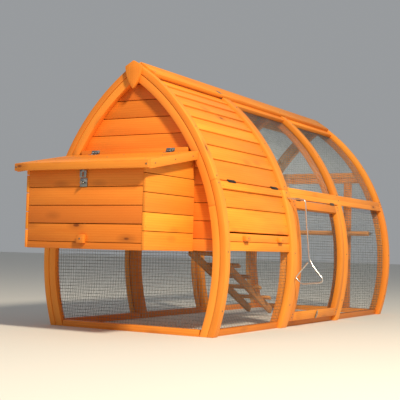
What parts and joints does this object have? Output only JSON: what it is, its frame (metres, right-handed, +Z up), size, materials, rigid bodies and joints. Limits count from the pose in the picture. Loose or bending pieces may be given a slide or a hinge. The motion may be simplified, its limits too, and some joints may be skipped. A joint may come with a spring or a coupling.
{
  "type": "chicken coop",
  "caption": "Arched timber chicken coop: boarded house with lidded nest box, side flap and tray, and a wire-mesh run with a top-hinged door.",
  "frame": {"origin": "on the ground, at the middle of the front sill's underside", "axes": "+Z up; +X to the right as seen from the nest box; +Y from the nest box to the rear of the run"},
  "size_m": [1.1953, 2.664, 1.2921],
  "materials": {
    "rib_timber": "orange-stained, oiled softwood frame, satin",
    "board_timber": "orange-stained softwood boards, satin",
    "gable_timber": "orange-stained softwood boards, satin, deeper tone",
    "inner_timber": "stained softwood, matt",
    "mesh_wire": "galvanised welded wire mesh",
    "zinc_steel": "bright zinc-plated steel",
    "black_steel": "black-coated steel"
  },
  "bodies": {
    "frame": {"finial": "board_timber", "flap_hinge_front": "black_steel", "flap_hinge_rear": "black_steel", "front_mesh": "mesh_wire", "front_rib_left": "rib_timber", "front_rib_right": "rib_timber", "front_sill": "rib_timber", "gable_boards": "gable_timber", "hasp_staple": "zinc_steel", "house_edge_rail_right": "board_timber", "house_floor": "inner_timber", "house_mesh_left": "mesh_wire", "house_mesh_right": "mesh_wire", "house_perch": "inner_timber", "intermediate_rib_left": "rib_timber", "intermediate_rib_right": "rib_timber", "ladder": "inner_timber", "lid_hinge_left": "zinc_steel", "lid_hinge_right": "zinc_steel", "middle_rib_left": "rib_timber", "middle_rib_right": "rib_timber", "nest_divider": "inner_timber", "nest_floor": "gable_timber", "nest_front": "gable_timber", "nest_side_left": "board_timber", "nest_side_right": "board_timber", "partition": "inner_timber", "rear_frame": "rib_timber", "rear_mesh": "mesh_wire", "rear_rib_left": "rib_timber", "rear_rib_right": "rib_timber", "rear_sill": "rib_timber", "ridge_cap": "board_timber", "roof_boards_left": "board_timber", "roof_boards_right": "board_timber", "roof_mesh_front_left": "mesh_wire", "roof_mesh_front_right": "mesh_wire", "roof_mesh_rear_left": "mesh_wire", "roof_mesh_rear_right": "mesh_wire", "run_door_hinge_front": "zinc_steel", "run_door_hinge_rear": "zinc_steel", "run_mesh_front_left": "mesh_wire", "run_mesh_rear_left": "mesh_wire", "run_mesh_rear_right": "mesh_wire", "run_perch": "inner_timber", "side_sill_left": "rib_timber", "side_sill_right": "rib_timber", "waist_rail_left": "rib_timber", "waist_rail_right": "rib_timber"},
    "nest_lid": {"nest_lid": "board_timber"},
    "hasp": {"lid_hasp": "zinc_steel"},
    "nest_tray": {"nest_tray": "gable_timber"},
    "side_flap": {"side_flap": "board_timber"},
    "droppings_tray": {"droppings_tray": "board_timber"},
    "run_door": {"run_door_frame": "rib_timber", "run_door_mesh": "mesh_wire"},
    "door_latch": {"run_door_latch": "zinc_steel"},
    "pop_door": {"pop_door": "inner_timber", "pull_rod": "zinc_steel"}
  },
  "joints": [
    {"name": "nest_lid_hinge", "type": "hinge", "parent": "frame", "child": "nest_lid", "pos_m": [0, -0.0285, 0.849], "axis": [-1, 0, 0], "range_deg": [0, 80]},
    {"name": "hasp_swing", "type": "hinge", "parent": "nest_lid", "child": "hasp", "pos_m": [0, -0.4025, 0.7518], "axis": [-1, 0, 0], "range_deg": [0, 30]},
    {"name": "nest_tray_slide", "type": "slide", "parent": "frame", "child": "nest_tray", "axis": [0, -1, 0], "range_m": [0, 0.3]},
    {"name": "side_flap_hinge", "type": "hinge", "parent": "frame", "child": "side_flap", "pos_m": [0.4501, 0.35, 0.7159], "axis": [0, -1, 0], "range_deg": [0, 100]},
    {"name": "droppings_tray_slide", "type": "slide", "parent": "frame", "child": "droppings_tray", "axis": [1, 0, 0], "range_m": [0, 0.4]},
    {"name": "run_door_hinge", "type": "hinge", "parent": "frame", "child": "run_door", "pos_m": [0.4726, 1.09, 0.672], "axis": [0, -1, 0], "range_deg": [0, 100]},
    {"name": "door_latch_turn", "type": "hinge", "parent": "run_door", "child": "door_latch", "pos_m": [0.4827, 1.1055, 0.0529], "axis": [0.9634, 0, -0.2682], "range_deg": [0, 90]},
    {"name": "pop_door_slide", "type": "slide", "parent": "frame", "child": "pop_door", "axis": [1, 0, 0], "range_m": [0, 0.25]}
  ]
}
